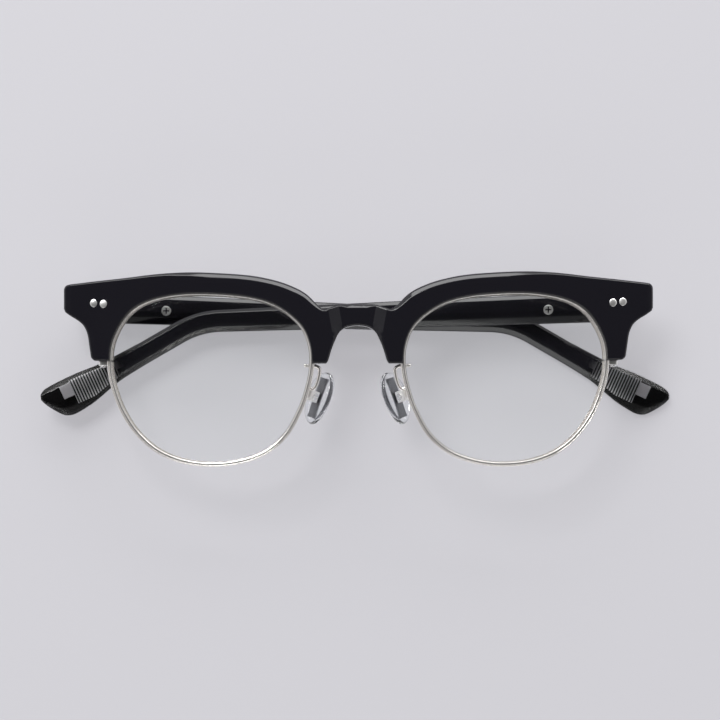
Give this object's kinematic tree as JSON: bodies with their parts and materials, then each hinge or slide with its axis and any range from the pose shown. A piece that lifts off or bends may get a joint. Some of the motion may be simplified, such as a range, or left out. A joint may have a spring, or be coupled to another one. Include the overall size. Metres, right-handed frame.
{
  "type": "browline glasses",
  "caption": "Browline glasses with a black acetate brow and temples, silver metal rims, clear lenses and nose pads, folded flat.",
  "frame": {"origin": "on the table, on the outer face of the lower temple, under the middle of the bridge", "axes": "+X to the wearer's left along the front, +Y up the face, +Z out of the front, away from the face"},
  "size_m": [0.1573, 0.047, 0.0187],
  "materials": {
    "black_acetate": "polished",
    "rim_metal": "polished",
    "screw_steel": "satin",
    "hinge_metal": "satin",
    "core_metal": "satin",
    "clear_lens": "polished",
    "clear_silicone": "smooth"
  },
  "bodies": {
    "front": {"brow_front": "black_acetate", "right_eyewire": "rim_metal", "right_lens": "clear_lens", "right_lock_screw": "screw_steel", "right_brow_screws": "screw_steel", "right_front_leaf": "hinge_metal", "right_front_rivets": "rim_metal", "right_hinge_screw": "screw_steel", "right_pad_arm": "rim_metal", "right_pad_screw": "screw_steel", "left_eyewire": "rim_metal", "left_lens": "clear_lens", "left_lock_screw": "screw_steel", "left_brow_screws": "screw_steel", "left_front_leaf": "hinge_metal", "left_front_rivets": "rim_metal", "left_hinge_screw": "screw_steel", "left_pad_arm": "rim_metal", "left_pad_screw": "screw_steel"},
    "right_temple_arm": {"right_temple": "black_acetate", "right_temple_leaf": "hinge_metal", "right_temple_rivet": "rim_metal", "right_core_wire": "core_metal"},
    "left_temple_arm": {"left_temple": "black_acetate", "left_temple_leaf": "hinge_metal", "left_temple_rivet": "rim_metal", "left_core_wire": "core_metal"},
    "right_pad": {"right_nose_pad": "clear_silicone", "right_pad_mount": "hinge_metal"},
    "left_pad": {"left_nose_pad": "clear_silicone", "left_pad_mount": "hinge_metal"}
  },
  "joints": [
    {"name": "right_temple_hinge", "type": "hinge", "parent": "front", "child": "right_temple_arm", "pos_m": [-0.06471, 0.00206, 0.0064], "axis": [0, 1, 0], "range_deg": [0, 93.5]},
    {"name": "left_temple_hinge", "type": "hinge", "parent": "front", "child": "left_temple_arm", "pos_m": [0.06485, 0.00206, 0.0096], "axis": [0, -1, 0], "range_deg": [0, 96.7]},
    {"name": "right_pad_pivot", "type": "hinge", "parent": "front", "child": "right_pad", "pos_m": [-0.01092, -0.01974, 0.01142], "axis": [-0.6489, 0.236, -0.7233], "range_deg": [-8, 8]},
    {"name": "left_pad_pivot", "type": "hinge", "parent": "front", "child": "left_pad", "pos_m": [0.01087, -0.01974, 0.01196], "axis": [0.6838, 0.236, -0.6904], "range_deg": [-8, 8]}
  ]
}
